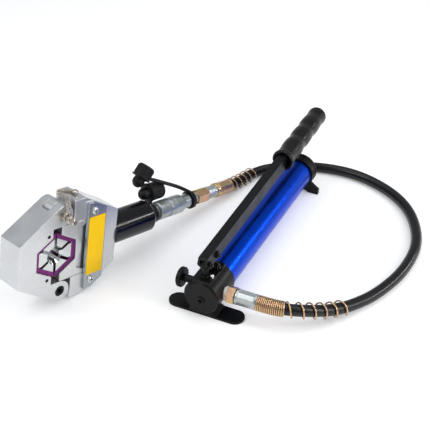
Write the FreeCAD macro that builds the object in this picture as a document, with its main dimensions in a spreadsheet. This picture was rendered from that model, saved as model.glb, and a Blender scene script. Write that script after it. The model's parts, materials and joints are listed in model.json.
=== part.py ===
"""Hand-pumped hose crimping machine: crimping head, hose and lever pump, in millimetres.

Row frame: origin on the floor under the middle of the pump's front foot, +Y along the pump towards its
rear cap, +X towards the hose port, +Z up. The crimping head has a frame of its own: its x runs along the
ram and away from the dies, its y through the thickness, its z from pin to pin, and it lies tipped so that
the ram's end and the lower corner of the frame reach the floor. The lever has a frame along its bar.
"""
import FreeCAD, Part
import math
import os
import Sketcher
from FreeCAD import Placement, Rotation, Vector

SIZES = {
    # place of the head
    "head_x": -163.7, "head_y": -61.67, "head_turn": 72.92, "head_tip": 10.8,
    # fits
    "run_play": 0.05, "slide_play": 0.3, "side_play": 0.2, "jaw_play": 0.15,
    # yoke and rear frame
    "head_thick": 36.0, "pin_half": 52.0, "pin_radius": 6.0, "yoke_reach": 64.0, "yoke_slope": 31.4,
    "ear_radius": 13.8, "mouth_wall": 15.0, "screw_hole_x": 21.0, "screw_hole_z": 30.0, "screw_hole": 2.5,
    "tongue_thick": 12.6, "tongue_radius": 14.0, "slot_radius": 16.5, "neck_half": 11.0,
    "shoulder": 16.0, "arm_half": 68.0, "arm_flat": 33.0, "frame_end": 87.0, "frame_end_half": 38.0,
    "floor_start": 40.0, "floor_thick": 4.5, "wall_start": 74.0, "lip_start": 62.0, "lip_thick": 2.6,
    # slider and dies
    "slider_front": 1.5, "slider_half": 37.8, "slider_step": 25.0, "slider_back": 58.0,
    "step_depth": 5.0, "step_front": 3.0,
    "slider_ear": 36.0, "ear_low": 30.0, "boss_radius": 15.0, "boss_x": 16.0, "face_gap": 0.4,
    "die_centre": 8.0, "die_half": 30.0, "die_side": 13.2, "die_band": 5.5, "die_part": 0.75,
    "die_recess": 3.0, "bore_radius": 8.5, "jaw_gap": 2.0, "jaw_half": 9.5, "spring_radius": 1.6,
    "spring_apart": 8.0, "spring_reach": 15.0, "lead_in": 3.6,
    # cover plate
    "plate_start": 35.5, "plate_end": 64.5, "plate_half": 60.0, "plate_flat": 46.0, "plate_thick": 4.0,
    "screw_x": 45.0, "screw_radius": 3.0, "screw_head": 5.0, "screw_deep": 18.0, "screw_inset": 11.3,
    "cross_half": 0.7,
    "label_start": 36.8, "label_end": 62.8, "label_thick": 0.4, "label_inset": 19.4,
    # pins
    "pin_grip": 20.0, "grip_waist": 5.0, "pin_collar": 6.5, "collar_deep": 1.5, "clip_thick": 1.2,
    "pin_head": 7.2, "pin_head_deep": 5.0, "ring_middle": 5.4, "ring_wire": 0.9, "ring_lift": 1.2,
    "chain_x": 27.9, "chain_y": 15.5, "chain_screw": 2.0, "chain_head": 4.0, "chain_deep": 8.0,
    "link_wide": 2.2, "link_thin": 1.0,
    # ram
    "ram_radius": 21.0, "ram_long": 78.0, "ram_chamfer": 7.0, "ram_bore": 15.0, "rod_radius": 10.0,
    "spigot_radius": 14.0, "spigot_long": 10.0, "piston_long": 14.0, "piston_start": 118.0,
    "bore_start": 97.0, "bore_end": 148.0, "oil_radius": 3.0, "seal_wide": 4.0, "seal_deep": 2.0,
    # coupler and hose fittings
    "nipple_radius": 8.0, "sleeve_radius": 13.0, "sleeve_start": 177.0, "sleeve_end": 226.0,
    "socket_start": 205.0, "socket_end": 253.0, "socket_radius": 10.0, "socket_neck": 8.5,
    "hex_corner": 11.3, "head_hex_long": 21.0, "collar_radius": 9.0, "collar_long": 20.0,
    "ferrule_radius": 10.2, "ferrule_long": 34.0, "strap_radius": 12.6, "strap_wide": 10.0,
    "strap_start": 239.0, "strap_rod": 2.2, "tab_radius": 1.8, "tab_y": 26.7, "tab_z": 9.9,
    "plug_ball": 7.5, "cap_rim": 13.4, "cap_long": 23.7, "low_cap_long": 31.0, "low_cap_x": 169.4,
    "low_cap_y": 36.0, "low_cap_z": 20.6, "high_cap_x": 164.3, "high_cap_y": 44.0, "high_cap_z": 37.9,
    "hose_radius": 7.5, "wire": 1.6, "head_guard": 11.0, "pump_guard": 9.5,
    # pump
    "axis_height": 29.3, "pump_radius": 23.4, "pump_front": 16.0, "pump_back": 32.0, "tube_radius": 21.5,
    "tube_wall": 2.0, "tube_end": 298.0, "cap_radius": 24.4, "cap_end": 315.0, "tube_grip": 12.0,
    "rim_chamfer": 2.0, "block_top": 54.5, "block_half": 12.0, "block_front": 14.0, "block_back": 30.0,
    "head_flat": 7.0, "tie_radius": 4.0, "tie_start": 14.0, "tie_end": 307.0, "plug_z": 25.5,
    "bleed_x": 9.3, "bleed_radius": 2.0, "bleed_deep": 6.0, "bleed_top": 59.6,
    "port_y": 6.5, "port_radius": 8.0, "port_seat": 15.0, "port_end": 27.0, "pump_hex_end": 37.0,
    "pump_ferrule_end": 66.0, "valve_y": 7.5, "valve_z": 33.0, "valve_radius": 5.0, "valve_seat": 12.0,
    "knob_radius": 13.0, "knob_start": 34.0, "knob_end": 41.0,
    "foot_half": 51.0, "foot_wide": 25.0, "foot_thick": 3.0, "pad_half": 12.0,
    "foot_screw": 2.5, "foot_screw_y": 7.0,
    "rear_foot_half": 33.0, "rear_foot_top": 18.4, "rear_foot_start": 300.0,
    "rear_foot_long": 6.0, "rear_foot_edge": 7.7, "rear_foot_arch": 14.4, "rear_foot_rise": 3.0,
    # lever and plunger
    "plunger_y": -3.0, "plunger_radius": 4.5, "plunger_low": 32.0, "plunger_well": 20.0, "eye_z": 73.0,
    "eye_radius": 5.5, "eye_half": 3.2, "plunger_bare": 8.6, "gland_radius": 6.6, "gland_top": 57.6,
    "bolt_radius": 3.0,
    "eye_play": 0.6, "pivot_y": 17.0, "pivot_z": 75.3, "lug_y": 16.5, "lug_z": 57.0, "lug_radius": 5.5,
    "lug_half": 6.2,
    "link_radius": 5.5, "slot_floor": 48.0, "slot_half": 8.0,
    "lever_z": 75.6, "lever_slope": 2.0, "bar_tall": 18.5, "bar_half": 6.0, "bar_wall": 2.4,
    "bar_end": 362.0, "bar_front": -9.5, "nose_low": 2.0, "channel_end": 230.0, "bolt_head": 4.6,
    "head_tall": 2.6, "nut_tall": 3.0,
    "grip_start": 237.0, "grip_end": 375.0, "grip_radius": 13.5, "cup_radius": 11.5, "cup_deep": 10.0,
}

doc = FreeCAD.newDocument("hose_crimper")
sheet = doc.addObject("Spreadsheet::Sheet", "Sizes")


class Size:
    """A length or an angle: its number, and the expression of the sheet's cells that it is bound by."""

    def __init__(self, number, text):
        self.number = number
        self.text = text

    def __float__(self):
        return float(self.number)

    def __add__(self, other):
        return Size(float(self) + float(other), "(%s + %s)" % (self.text, size(other).text))

    def __sub__(self, other):
        return Size(float(self) - float(other), "(%s - %s)" % (self.text, size(other).text))

    def __mul__(self, other):
        return Size(float(self) * float(other), "(%s * %s)" % (self.text, size(other).text))

    def __truediv__(self, other):
        return Size(float(self) / float(other), "(%s / %s)" % (self.text, size(other).text))

    def __radd__(self, other):
        return size(other) + self

    def __rsub__(self, other):
        return size(other) - self

    def __rmul__(self, other):
        return size(other) * self

    def __rtruediv__(self, other):
        return size(other) / self

    def __neg__(self):
        return size(0) - self


def size(number):
    """A plain number as a size that no cell drives."""
    return number if isinstance(number, Size) else Size(number, "%.9g" % number)


def sin(angle):
    return Size(math.sin(math.radians(float(angle))), "sin(%s)" % size(angle).text)


def cos(angle):
    return Size(math.cos(math.radians(float(angle))), "cos(%s)" % size(angle).text)


def tan(angle):
    return sin(angle) / cos(angle)


class Cells:
    """Every size of the sheet, by its alias."""


def fill_sheet():
    for row, (alias, number) in enumerate(SIZES.items(), start=1):
        sheet.set("A%d" % row, alias)
        sheet.set("B%d" % row, str(number))
        sheet.setAlias("B%d" % row, alias)
        setattr(Cells, alias, Size(number, "Sizes.%s" % alias))
    doc.recompute()


fill_sheet()
D = Cells
PARTS = []
TURNS = {"X": Rotation(Vector(0, 1, 0), 90), "Y": Rotation(Vector(1, 0, 0), -90), "Z": Rotation()}
PLANES = {"X": "YZ_Plane", "Y": "XZ_Plane", "Z": "XY_Plane"}


def bind(obj, **sizes):
    for name, amount in sizes.items():
        obj.setExpression(name, size(amount).text)
    return obj


def place(obj, x, y, z, turn=Rotation()):
    """Stand an object at x, y, z, each bound to the sheet."""
    obj.Placement = Placement(Vector(float(x), float(y), float(z)), turn)
    for name, amount in zip("xyz", (x, y, z)):
        obj.setExpression("Placement.Base.%s" % name, size(amount).text)
    return obj


def along(axis, start, a, b):
    """The point at start on an axis, with a and b on the two other axes."""
    return {"X": (start, a, b), "Y": (a, start, b), "Z": (a, b, start)}[axis]


def box(x0, x1, y0, y1, z0, z1):
    obj = doc.addObject("Part::Box", "Block")
    bind(obj, Length=size(x1) - x0, Width=size(y1) - y0, Height=size(z1) - z0)
    return place(obj, x0, y0, z0)


def rod(axis, radius, start, end, a=0, b=0):
    obj = doc.addObject("Part::Cylinder", "Rod")
    bind(obj, Radius=radius, Height=size(end) - start)
    return place(obj, *along(axis, start, a, b), TURNS[axis])


def hexagon(axis, corner, start, end, a=0, b=0):
    obj = doc.addObject("Part::Prism", "Hexagon")
    obj.Polygon = 6
    bind(obj, Circumradius=corner, Height=size(end) - start)
    return place(obj, *along(axis, start, a, b), TURNS[axis])


def ring(axis, middle, thick, station, a=0, b=0):
    obj = doc.addObject("Part::Torus", "Ring")
    bind(obj, Radius1=middle, Radius2=thick)
    return place(obj, *along(axis, station, a, b), TURNS[axis])


def sketched(role, points):
    """A body with a closed outline on one of its own planes, each corner bound to the sheet."""
    body = doc.addObject("PartDesign::Body", "Shaped")
    sketch = body.newObject("Sketcher::SketchObject", "Outline")
    plane = [item for item in body.Origin.OriginFeatures if item.Role == role][0]
    sketch.AttachmentSupport = [(plane, "")]
    sketch.MapMode = "FlatFace"
    corners = [Vector(float(u), float(v), 0) for u, v in points]
    lines = [Part.LineSegment(a, b) for a, b in zip(corners, corners[1:] + corners[:1])]
    sketch.addGeometry(lines, False)
    rules = []
    for number in range(len(lines)):
        rules.append(Sketcher.Constraint("Coincident", number, 2, (number + 1) % len(lines), 1))
    driven = []
    for number, corner in enumerate(points):
        for kind, amount, axis in (("DistanceX", corner[0], -2), ("DistanceY", corner[1], -1)):
            if abs(float(amount)) < 1e-9:
                rules.append(Sketcher.Constraint("PointOnObject", number, 1, axis))
            else:
                driven.append((len(rules), amount))
                rules.append(Sketcher.Constraint(kind, -1, 1, number, 1, float(amount)))
    sketch.addConstraint(rules)
    for index, amount in driven:
        sketch.setExpression("Constraints[%d]" % index, size(amount).text)
    return body, sketch


def prism(axis, points, start, end, a=0, b=0):
    """A plate of any outline, square to an axis, from start to end."""
    body, sketch = sketched(PLANES[axis], points)
    pad = body.newObject("PartDesign::Pad", "Plate")
    pad.Profile = sketch
    pad.Reversed = axis == "Y"
    bind(pad, Length=size(end) - start)
    sketch.Visibility = False
    return place(body, *along(axis, start, a, b))


def turned(axis, profile, bore=0, a=0, b=0):
    """A piece turned on an axis: a list of station and radius, closed on the axis or along a bore."""
    stations = [size(profile[-1][0]), size(profile[0][0])]
    outline = list(profile) + [(station, bore) for station in stations]
    if axis == "Z":
        body, sketch = sketched("XZ_Plane", [(radius, station) for station, radius in outline])
    else:
        body, sketch = sketched("XY_Plane" if axis == "X" else "YZ_Plane", outline)
    turn = body.newObject("PartDesign::Revolution", "Turning")
    turn.Profile = sketch
    turn.ReferenceAxis = (sketch, ["V_Axis" if axis == "Z" else "H_Axis"])
    turn.Angle = 360
    sketch.Visibility = False
    return place(body, *along(axis, 0, a, b))


def fuse(*pieces):
    obj = doc.addObject("Part::MultiFuse", "Joined")
    obj.Shapes = list(pieces)
    obj.Refine = True
    return obj


def cut(base, *tools):
    obj = doc.addObject("Part::Cut", "Cut")
    obj.Base = base
    obj.Tool = tools[0] if len(tools) == 1 else fuse(*tools)
    obj.Refine = True
    return obj


def common(base, other):
    obj = doc.addObject("Part::MultiCommon", "Shared")
    obj.Shapes = [base, other]
    return obj


def keep(label, *pieces, where=None):
    """Name a sub-part, which is one piece or a group of like ones, and stand it in its frame."""
    obj = doc.addObject("Part::Compound", "Group")
    obj.Links = list(pieces)
    obj.Label = label
    obj.Placement = where or Placement()
    PARTS.append(obj)
    return obj


TIP = Rotation(Vector(0, 0, 1), SIZES["head_turn"]) * Rotation(Vector(0, 1, 0), SIZES["head_tip"])
HEAD_HEIGHT = D.arm_flat * sin(D.head_tip) + D.arm_half * cos(D.head_tip)
HEAD = Placement(Vector(float(D.head_x), float(D.head_y), float(HEAD_HEIGHT)), TIP)
LEVER = Placement(Vector(0, 0, float(D.lever_z)), Rotation(Vector(1, 0, 0), float(D.lever_slope)))
FAR = 200
MID = D.head_thick / 2


def both(points):
    """An outline's upper half, from left to right, with its mirror image below."""
    return list(points) + [(u, -v) for u, v in reversed(points)]


def hex_pocket(grow, y0, y1):
    """The hexagonal space that the two die holders fill, grown by a clearance."""
    crest = (D.die_side + D.die_half * tan(30)) + grow / cos(30)
    flat = D.die_half + grow
    side = crest - flat * tan(30)
    upper = [(-D.die_centre - flat, side), (-D.die_centre, crest), (-D.die_centre + flat, side)]
    return prism("Y", both(upper), y0, y1)


def pin_bores(radius):
    return [rod("Y", radius, -FAR, FAR, 0, z) for z in (D.pin_half, -D.pin_half)]


# Front yoke and rear frame

def front_yoke():
    ear_x = -D.ear_radius * sin(D.yoke_slope)
    ear_z = D.pin_half + D.ear_radius * cos(D.yoke_slope)
    flat_z = ear_z - (D.yoke_reach + ear_x) * tan(D.yoke_slope)
    outline = both([(-D.yoke_reach, flat_z), (ear_x, ear_z), (0, D.pin_half)])
    ears = [rod("Y", D.ear_radius, 0, D.head_thick, 0, z) for z in (D.pin_half, -D.pin_half)]
    mouth_half = D.slider_half + 2 * D.slide_play
    mouth = box(-D.mouth_wall, FAR, -FAR, FAR, -mouth_half, mouth_half)
    slot_half = D.tongue_thick / 2 + D.side_play
    slots = [rod("Y", D.slot_radius, MID - slot_half, MID + slot_half, 0, z) for z in (D.pin_half, -D.pin_half)]
    reach = D.pin_half + D.slot_radius
    slots.append(box(0, FAR, MID - slot_half, MID + slot_half, -reach, reach))
    counterbores = [rod("Y", D.pin_collar + D.slide_play, -FAR, D.collar_deep, 0, D.pin_half),
                    rod("Y", D.pin_head, -FAR, D.pin_head_deep, 0, -D.pin_half)]
    holes = [rod("Y", D.screw_hole, -1, MID, -D.screw_hole_x, z) for z in (D.screw_hole_z, -D.screw_hole_z)]
    body = fuse(prism("Y", outline, 0, D.head_thick), *ears)
    yoke = cut(body, mouth, hex_pocket(D.jaw_play, -1, D.head_thick + 1), *counterbores,
               *slots, *pin_bores(D.pin_radius + D.run_play))
    keep("front_yoke", cut(yoke, *holes), where=HEAD)
    screws = [rod("Y", D.screw_hole - D.run_play, 1, MID - 1, -D.screw_hole_x, z)
              for z in (D.screw_hole_z, -D.screw_hole_z)]
    keep("die_set_screws", *screws, where=HEAD)


def rear_frame():
    channel = D.slider_half + D.slide_play
    outline = both([(D.shoulder, D.arm_half), (D.arm_flat, D.arm_half), (D.frame_end, D.frame_end_half)])
    body = prism("Y", outline, 0, D.head_thick)
    half = D.tongue_thick / 2
    tongues = []
    for z in (D.pin_half, -D.pin_half):
        tongues.append(rod("Y", D.tongue_radius, MID - half, MID + half, 0, z))
        tongues.append(box(0, D.shoulder + 1, MID - half, MID + half, z - D.neck_half, z + D.neck_half))
    floor = D.head_thick - D.floor_thick
    room = box(-FAR, D.floor_start, -1, D.head_thick + 1, -channel, channel)
    tray = box(D.floor_start - 1, D.lip_start, -1, floor, -channel, channel)
    under_lip = box(D.lip_start - 1, D.wall_start, D.lip_thick, floor, -channel, channel)
    bores = [rod("X", D.rod_radius + D.run_play, D.wall_start - 1, D.frame_end + 1, MID, 0),
             rod("X", D.spigot_radius, D.frame_end - D.spigot_long, D.frame_end + 1, MID, 0),
             rod("Z", D.chain_screw, D.arm_half - D.chain_deep, FAR, D.chain_x, D.chain_y)]
    holes = [rod("Y", D.screw_radius + D.run_play, -1, D.screw_deep + 1, D.screw_x, z) for z in plate_screws()]
    frame = cut(fuse(body, *tongues), room, tray, under_lip, *bores, *holes,
                *pin_bores(D.pin_radius + D.run_play))
    keep("rear_frame", frame, where=HEAD)


def plate_screws():
    """The heights of the cover plate's two screws, set in from the plate's ends."""
    height = D.plate_half - D.screw_inset
    return height, -height


def cover_plate():
    slope = (D.arm_half - D.frame_end_half) / (D.frame_end - D.arm_flat)
    low = D.plate_half - (D.plate_end - D.plate_flat) * slope
    outline = both([(D.plate_start, D.plate_half), (D.plate_flat, D.plate_half), (D.plate_end, low)])
    holes = [rod("Y", D.screw_radius + D.run_play, -FAR, FAR, D.screw_x, z) for z in plate_screws()]
    keep("cover_plate", cut(prism("Y", outline, -D.plate_thick, 0), *holes), where=HEAD)
    label_half = D.plate_half - D.label_inset
    label = box(D.label_start, D.label_end, -D.plate_thick - D.label_thick, -D.plate_thick,
                -label_half, label_half)
    keep("plate_label", label, where=HEAD)
    screws = []
    for z in plate_screws():
        top = -D.plate_thick - D.screw_head * 0.55
        dome = [(top, D.screw_head * 0.55), (top + D.screw_head * 0.2, D.screw_head * 0.88),
                (-D.plate_thick, D.screw_head), (-D.plate_thick, D.screw_radius),
                (D.screw_deep, D.screw_radius)]
        reach = D.screw_radius
        wide = D.cross_half
        floor = top + D.screw_radius * 0.6
        cross = [box(D.screw_x - reach, D.screw_x + reach, top - 1, floor, z - wide, z + wide),
                 box(D.screw_x - wide, D.screw_x + wide, top - 1, floor, z - reach, z + reach)]
        screws.append(cut(turned("Y", dome, 0, D.screw_x, z), *cross))
    keep("cover_screws", *screws, where=HEAD)


# Slider, die holders and jaws

def slider_block():
    front = D.face_gap
    step = D.step_depth
    shallow = D.step_front
    thick = box(-D.slider_front, D.slider_step, front, D.head_thick - front, -D.slider_half, D.slider_half)
    rear = box(D.slider_step - 1, D.slider_back, shallow, D.head_thick - step, -D.slider_half, D.slider_half)
    boss = rod("Y", D.boss_radius, front, shallow + 1, D.boss_x, 0)
    ears = []
    for side in (1, -1):
        ear = [(D.slider_step - 1, side * (D.ear_low - 3)), (D.slider_step, side * (D.ear_low - 3)),
               (D.slider_ear, side * (D.ear_low + 2)), (D.slider_ear, side * D.slider_half),
               (D.slider_step - 1, side * D.slider_half)]
        ears.append(prism("Y", ear, front, shallow + 1))
    block = cut(fuse(thick, rear, boss, *ears), hex_pocket(D.jaw_play, -1, D.head_thick + 1))
    keep("slider_block", block, where=HEAD)


def die_inner(grow):
    """Half the inside of a die holder: distance of the flat wall, crest and corner height."""
    flat = D.die_half - D.die_band - grow
    wall = (D.die_side + D.die_half * tan(30)) * cos(30) - D.die_band - grow
    crest = wall / cos(30)
    return flat, crest, crest - flat * tan(30)


def die_holders():
    """The two halves of the purple hexagon, each open towards the other."""
    flat, crest, side = die_inner(0)
    inner = both([(-D.die_centre - flat, side), (-D.die_centre, crest), (-D.die_centre + flat, side)])
    y0 = D.die_recess
    y1 = D.head_thick - D.die_recess
    for name, x0, x1 in (("die_holder_yoke", -FAR, -D.die_centre - D.die_part),
                         ("die_holder_slider", -D.die_centre + D.die_part, FAR)):
        half = common(hex_pocket(0, y0, y1), box(x0, x1, y0, y1, -FAR, FAR))
        keep(name, cut(half, prism("Y", inner, y0 - 1, y1 + 1)), where=HEAD)


def jaw(angle, back, half):
    """One jaw as a wedge of a sixth of the circle, with a cone that leads into the bore on each face."""
    edge = D.jaw_gap / cos(30)
    near = D.bore_radius * 0.6
    tip = near * tan(30) * 0.5
    knee = (half + edge) / tan(30)
    start = (tip + edge) / tan(30)
    outline = both([(start, tip), (knee, half), (back, half)])
    y0 = D.die_recess
    y1 = D.head_thick - y0
    lead = [(y0 - 1, D.bore_radius + D.lead_in + 1), (y0 + D.lead_in, D.bore_radius),
            (y1 - D.lead_in, D.bore_radius), (y1 + 1, D.bore_radius + D.lead_in + 1)]
    wedge = cut(prism("Y", outline, y0, y1), turned("Y", lead))
    return swung(wedge, angle, -D.die_centre)


def swung(piece, angle, x=0, y=0, z=0):
    """A piece whose x axis is swung up by an angle in the head's frame, then carried to its place."""
    group = doc.addObject("Part::Compound", "Turned")
    group.Links = [piece]
    return place(group, x, y, z, Rotation(Vector(0, 1, 0), -angle))


def jaws():
    flat, crest, side = die_inner(0)
    slant = crest * cos(30)
    middle_half = D.jaw_half
    side_half = slant * tan(30) - D.jaw_gap / cos(30) - 0.4
    for name, angle, back, half in (("jaw_yoke_middle", 180, flat, middle_half),
                                    ("jaw_yoke_upper", 120, slant - D.jaw_play, side_half),
                                    ("jaw_yoke_lower", 240, slant - D.jaw_play, side_half),
                                    ("jaw_slider_middle", 0, flat, middle_half),
                                    ("jaw_slider_upper", 60, slant - D.jaw_play, side_half),
                                    ("jaw_slider_lower", 300, slant - D.jaw_play, side_half)):
        keep(name, jaw(angle, back, half), where=HEAD)
    low = (-D.jaw_gap, D.jaw_gap - D.jaw_play)
    high = (-D.jaw_gap + D.jaw_play, D.jaw_gap)
    for name, turn in (("jaw_springs_yoke", 180), ("jaw_springs_slider", 0)):
        springs = []
        for lean, (bottom, top) in ((30, low), (-30, high)):
            for y in (MID - D.spring_apart, MID + D.spring_apart):
                spring = rod("Z", D.spring_radius, bottom, top, D.spring_reach, y)
                springs.append(swung(spring, turn + lean, -D.die_centre))
        keep(name, *springs, where=HEAD)


# Pins

def locking_pin():
    waist = D.grip_waist
    neck = waist * 0.6
    long = D.pin_grip
    tip = D.head_thick + 1
    profile = [(-long, neck), (-long * 0.94, waist * 0.84), (-long * 0.78, waist * 0.84),
               (-long * 0.72, neck), (-long * 0.63, neck), (-long * 0.6, waist), (-long * 0.42, waist),
               (-long * 0.36, neck), (-long * 0.24, neck), (-long * 0.2, waist), (0, waist),
               (0, D.pin_collar), (D.collar_deep, D.pin_collar),
               (D.collar_deep, D.pin_radius), (tip - 2, D.pin_radius), (tip, D.pin_radius - 1.5)]
    keep("locking_pin", turned("Y", profile, 0, 0, D.pin_half), where=HEAD)
    keep("locking_pin_ring", ring("Y", D.ring_middle, D.ring_wire, -long * 0.3, 0, D.pin_half + D.ring_lift),
         where=HEAD)


def pin_chain():
    """A fine chain of flat links from the locking pin's ring over the head to a screw on its top."""
    top = float(D.arm_half) + 1.2
    front = float(D.pin_half) + 9
    path = [Vector(1, -6.2, front), Vector(3, -5, front + 3.6), Vector(5.6, -2, top), Vector(8.4, 2.6, top),
            Vector(11, 8, top), Vector(12.2, 13.6, top), Vector(11.2, 18.8, top), Vector(11.6, 23.6, top),
            Vector(14.8, 26.6, top), Vector(19, 26.2, top), Vector(22.8, 23.6, top),
            Vector(float(D.chain_x) - 1.6, float(D.chain_y) + float(D.chain_screw) + 1.2, top)]
    links = []
    for number, (start, end) in enumerate(zip(path, path[1:])):
        link = doc.addObject("Part::Box", "Link")
        flat, tall = (D.link_wide, D.link_thin) if number % 2 else (D.link_thin, D.link_wide)
        long = (end - start).Length + float(D.link_thin)
        bind(link, Length=long, Width=flat, Height=tall)
        turn = Rotation(Vector(1, 0, 0), end - start)
        corner = Vector(-float(D.link_thin) / 2, -float(flat) / 2, -float(tall) / 2)
        link.Placement = Placement(start + turn.multVec(corner), turn)
        links.append(link)
    head = D.arm_half + D.link_wide + 0.4
    screw = turned("Z", [(D.arm_half - D.chain_deep, D.chain_screw), (head, D.chain_screw),
                         (head, D.chain_head), (head + 1.4, D.chain_head), (head + 2.4, D.chain_head * 0.6)],
                   0, D.chain_x, D.chain_y)
    keep("pin_chain", fuse(*links), screw, where=HEAD)


def hinge_pin():
    head = D.pin_head - D.slide_play
    end = D.head_thick + 3 * D.clip_thick
    groove = D.head_thick + D.run_play * 2
    lower = -D.pin_half
    under = D.pin_head_deep - D.run_play * 2
    profile = [(0.6, head - 0.8), (1.2, head), (under, head), (under, D.pin_radius),
               (groove, D.pin_radius), (groove, D.pin_radius - 1), (groove + D.clip_thick, D.pin_radius - 1),
               (groove + D.clip_thick, D.pin_radius), (end, D.pin_radius)]
    socket = hexagon("Y", D.pin_radius * 0.6, -1, under - 1, 0, lower)
    keep("hinge_pin", cut(turned("Y", profile, 0, 0, lower), socket), where=HEAD)
    clip = turned("Y", [(groove, D.pin_radius + 2.5), (groove + D.clip_thick, D.pin_radius + 2.5)],
                  D.pin_radius - 1, 0, lower)
    opening = box(D.pin_radius * 0.4, FAR, 0, FAR, lower - 2, lower + 2)
    keep("hinge_pin_clip", cut(clip, opening), where=HEAD)


# Ram

def ram():
    start = D.frame_end
    end = start + D.ram_long
    spigot = start - D.spigot_long
    profile = [(spigot, D.spigot_radius), (start, D.spigot_radius), (start, D.ram_radius),
               (end - D.ram_chamfer * 1.4, D.ram_radius), (end, D.ram_radius - D.ram_chamfer)]
    bores = [rod("X", D.rod_radius + D.run_play, spigot - 1, D.bore_start + 1, MID, 0),
             rod("X", D.ram_bore, D.bore_start, D.bore_end, MID, 0),
             rod("X", D.oil_radius, D.bore_end - 1, end + 1, MID, 0)]
    keep("ram_cylinder", cut(turned("X", profile, 0, MID, 0), *bores), where=HEAD)
    piston = D.ram_bore - D.run_play
    seal = D.piston_start + D.piston_long / 2 - D.seal_wide / 2
    stop = D.piston_start + D.piston_long
    profile = [(D.slider_back, D.rod_radius), (D.piston_start, D.rod_radius), (D.piston_start, piston),
               (seal, piston), (seal, piston - D.seal_deep), (seal + D.seal_wide, piston - D.seal_deep),
               (seal + D.seal_wide, piston), (stop, piston)]
    keep("ram_piston", turned("X", profile, 0, MID, 0), where=HEAD)
    keep("piston_seal", turned("X", [(seal, piston), (seal + D.seal_wide, piston)],
                               piston - D.seal_deep, MID, 0), where=HEAD)
    keep("return_spring", turned("X", [(D.bore_start, D.ram_bore - 0.6),
                                       (D.piston_start - D.slide_play, D.ram_bore - 0.6)],
                                 D.rod_radius + 0.6, MID, 0), where=HEAD)


# Coupler and hose fittings at the head

def coupler():
    start = D.frame_end + D.ram_long
    profile = [(start, D.nipple_radius), (D.sleeve_start, D.nipple_radius), (D.sleeve_start, D.socket_radius),
               (D.sleeve_start + 8, D.socket_radius), (D.sleeve_start + 12, D.nipple_radius),
               (D.socket_start - 0.3, D.nipple_radius)]
    keep("coupler_nipple", turned("X", profile, D.oil_radius, MID, 0), where=HEAD)
    inner = D.socket_radius + D.slide_play
    groove = D.sleeve_start + (D.sleeve_end - D.sleeve_start) * 0.35
    profile = [(D.sleeve_start, D.sleeve_radius - 0.8), (D.sleeve_start + 0.8, D.sleeve_radius),
               (groove, D.sleeve_radius), (groove + 1, D.sleeve_radius - 1.2),
               (groove + 3, D.sleeve_radius - 1.2), (groove + 4, D.sleeve_radius),
               (D.sleeve_end - 5, D.sleeve_radius), (D.sleeve_end, inner + 0.6)]
    keep("coupler_sleeve", turned("X", profile, inner, MID, 0), where=HEAD)
    step = D.strap_start - 1
    profile = [(D.socket_start, D.socket_radius), (step - 1.5, D.socket_radius),
               (step, D.socket_neck), (D.socket_end, D.socket_neck)]
    keep("coupler_socket", turned("X", profile, D.oil_radius, MID, 0), where=HEAD)


def dust_caps():
    """Two rubber caps, each on a ring of its own: one beside the ram's nipple, one on the hose's half."""
    ring_start = D.frame_end + D.ram_long + 0.5
    band = turned("X", [(ring_start, D.strap_radius), (ring_start + D.strap_wide, D.strap_radius)],
                  D.nipple_radius + D.slide_play, MID, 0)
    tab = rod("X", D.tab_radius, ring_start + 2, D.sleeve_start - 0.6, D.tab_y, D.tab_z)
    cap = swung(plug_cap(D.low_cap_long), 0, D.low_cap_x, D.low_cap_y, D.low_cap_z)
    keep("dust_cap_ram", fuse(band, tab, cap), where=HEAD)
    band = turned("X", [(D.strap_start, D.strap_radius), (D.strap_start + D.strap_wide, D.strap_radius)],
                  D.socket_neck + D.slide_play, MID, 0)
    route = [Vector(243, 18, 10.8), Vector(232, 20.5, 17.5), Vector(221, 23, 23.4), Vector(210, 26, 28.2),
             Vector(198, 29.5, 33), Vector(187, 33, 37.4), Vector(177, 36.5, 41), Vector(170, 40, 43.4)]
    strap = soft_rod(route, D.strap_rod)[0]
    cap = swung(plug_cap(D.cap_long), 51.7, D.high_cap_x, D.high_cap_y, D.high_cap_z)
    keep("dust_cap_line", fuse(band, strap, cap), where=HEAD)


def plug_cap(long):
    """A dust cap along x: a round plug, a rim and a ribbed cup, with the plug's middle at the origin."""
    ball = D.plug_ball
    rim = D.cap_rim
    cup = rim - 1.2
    profile = [(-ball, ball * 0.2), (-ball * 0.87, ball * 0.5), (-ball * 0.5, ball * 0.87), (0, ball),
               (ball * 0.5, ball * 0.87), (ball * 0.7, ball * 0.8), (ball * 0.7, rim), (ball * 0.7 + 2.5, rim),
               (ball * 0.7 + 2.5, cup), (long - 2.5, cup), (long, cup - 1.4)]
    return turned("X", profile)


def head_fittings():
    nut_end = D.socket_end + D.head_hex_long
    collar_end = nut_end + D.collar_long
    ferrule_end = collar_end + D.ferrule_long
    nut = cut(hexagon("X", D.hex_corner, D.socket_end, nut_end, MID, 0),
              rod("X", D.oil_radius, 0, 2 * FAR, MID, 0))
    keep("hose_nut_head", nut, where=HEAD)
    low = D.collar_radius - 0.8
    profile = [(nut_end, low), (nut_end + 2, low), (nut_end + 2.6, D.collar_radius),
               (collar_end, D.collar_radius)]
    keep("hose_collar_head", turned("X", profile, D.oil_radius, MID, 0), where=HEAD)
    keep("hose_ferrule_head", turned("X", ferrule(collar_end, ferrule_end), D.oil_radius, MID, 0), where=HEAD)
    outer = D.hose_radius + D.slide_play + D.wire
    keep("spring_guard_head", turned("X", [(ferrule_end, outer), (ferrule_end + D.head_guard, outer)],
                                     D.hose_radius + D.slide_play, MID, 0), where=HEAD)
    return ferrule_end


def ferrule(start, end):
    """The profile of a pressed ferrule, plain along its length, with a chamfer at each end."""
    top = D.ferrule_radius
    return [(start, top - 1.4), (start + 1.6, top), (end - 2.2, top), (end, top - 1.4)]


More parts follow.
